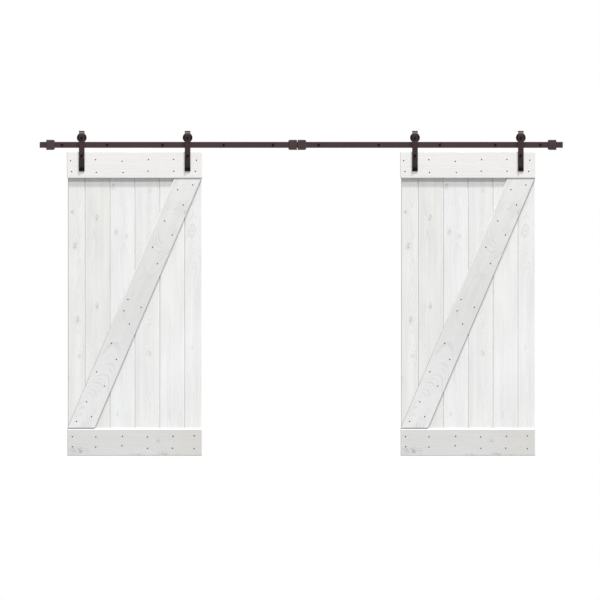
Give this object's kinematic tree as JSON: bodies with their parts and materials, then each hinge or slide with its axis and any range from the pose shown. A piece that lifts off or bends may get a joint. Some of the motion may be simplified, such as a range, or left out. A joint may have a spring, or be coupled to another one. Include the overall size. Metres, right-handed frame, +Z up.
{
  "type": "barn doors",
  "caption": "Pair of whitewashed plank sliding barn doors with Z boards, hung by strap hangers and grooved wheels on one flat steel wall rail with stops.",
  "frame": {"origin": "on the wall plane, behind the middle of the rail, at the height of the bolts", "axes": "+X along the rail to the right as seen from the front, +Y into the wall, +Z up"},
  "size_m": [3.668, 0.1224, 2.2774],
  "materials": {
    "whitewashed_pine": "matte",
    "bronze_steel": "satin",
    "black_steel": "satin",
    "black_nylon": "matte",
    "buffer_rubber": "matte",
    "bearing_steel": "satin"
  },
  "bodies": {
    "rail": {"rail_bar_left": "bronze_steel", "rail_bar_right": "bronze_steel", "wall_standoffs": "bronze_steel", "lag_bolts": "bronze_steel", "lag_washers": "bronze_steel", "end_stop_left": "bronze_steel", "centre_stop_left": "bronze_steel", "centre_stop_right": "bronze_steel", "end_stop_right": "bronze_steel", "stop_buffers": "buffer_rubber", "stop_set_screws": "black_steel"},
    "left_door": {"left_plank_1": "whitewashed_pine", "left_plank_2": "whitewashed_pine", "left_plank_3": "whitewashed_pine", "left_plank_4": "whitewashed_pine", "left_plank_5": "whitewashed_pine", "left_plank_6": "whitewashed_pine", "left_header_board": "whitewashed_pine", "left_brace_board": "whitewashed_pine", "left_foot_board": "whitewashed_pine", "left_outer_strap": "bronze_steel", "left_inner_strap": "bronze_steel", "left_board_screws": "black_steel", "left_strap_bolts": "black_steel", "left_strap_washers": "black_steel", "left_strap_nuts": "black_steel", "left_axle_bolts": "black_steel", "left_axle_nuts": "black_steel", "left_axle_spacers": "bearing_steel"},
    "left_outer_wheel": {"left_outer_wheel": "black_nylon", "left_outer_bearing": "bearing_steel"},
    "left_inner_wheel": {"left_inner_wheel": "black_nylon", "left_inner_bearing": "bearing_steel"},
    "right_door": {"right_plank_1": "whitewashed_pine", "right_plank_2": "whitewashed_pine", "right_plank_3": "whitewashed_pine", "right_plank_4": "whitewashed_pine", "right_plank_5": "whitewashed_pine", "right_plank_6": "whitewashed_pine", "right_header_board": "whitewashed_pine", "right_brace_board": "whitewashed_pine", "right_foot_board": "whitewashed_pine", "right_outer_strap": "bronze_steel", "right_inner_strap": "bronze_steel", "right_board_screws": "black_steel", "right_strap_bolts": "black_steel", "right_strap_washers": "black_steel", "right_strap_nuts": "black_steel", "right_axle_bolts": "black_steel", "right_axle_nuts": "black_steel", "right_axle_spacers": "bearing_steel"},
    "right_outer_wheel": {"right_outer_wheel": "black_nylon", "right_outer_bearing": "bearing_steel"},
    "right_inner_wheel": {"right_inner_wheel": "black_nylon", "right_inner_bearing": "bearing_steel"}
  },
  "joints": [
    {"name": "left_door_slide", "type": "slide", "parent": "rail", "child": "left_door", "axis": [1, 0, 0], "range_m": [-0.1595, 0.663]},
    {"name": "left_outer_wheel_spin", "type": "hinge", "parent": "left_door", "child": "left_outer_wheel", "pos_m": [-1.539, -0.041, 0.0503], "axis": [0, 1, 0], "continuous": true},
    {"name": "left_inner_wheel_spin", "type": "hinge", "parent": "left_door", "child": "left_inner_wheel", "pos_m": [-0.797, -0.041, 0.0503], "axis": [0, 1, 0], "continuous": true},
    {"name": "right_door_slide", "type": "slide", "parent": "rail", "child": "right_door", "axis": [-1, 0, 0], "range_m": [-0.1595, 0.719]},
    {"name": "right_outer_wheel_spin", "type": "hinge", "parent": "right_door", "child": "right_outer_wheel", "pos_m": [1.539, -0.041, 0.0503], "axis": [0, -1, 0], "continuous": true},
    {"name": "right_inner_wheel_spin", "type": "hinge", "parent": "right_door", "child": "right_inner_wheel", "pos_m": [0.797, -0.041, 0.0503], "axis": [0, -1, 0], "continuous": true}
  ],
  "couplings": [
    {"joint": "left_outer_wheel_spin", "follows": "left_door_slide", "rad_per_m": 34.483},
    {"joint": "left_inner_wheel_spin", "follows": "left_door_slide", "rad_per_m": 34.483},
    {"joint": "right_outer_wheel_spin", "follows": "right_door_slide", "rad_per_m": 34.483},
    {"joint": "right_inner_wheel_spin", "follows": "right_door_slide", "rad_per_m": 34.483}
  ]
}
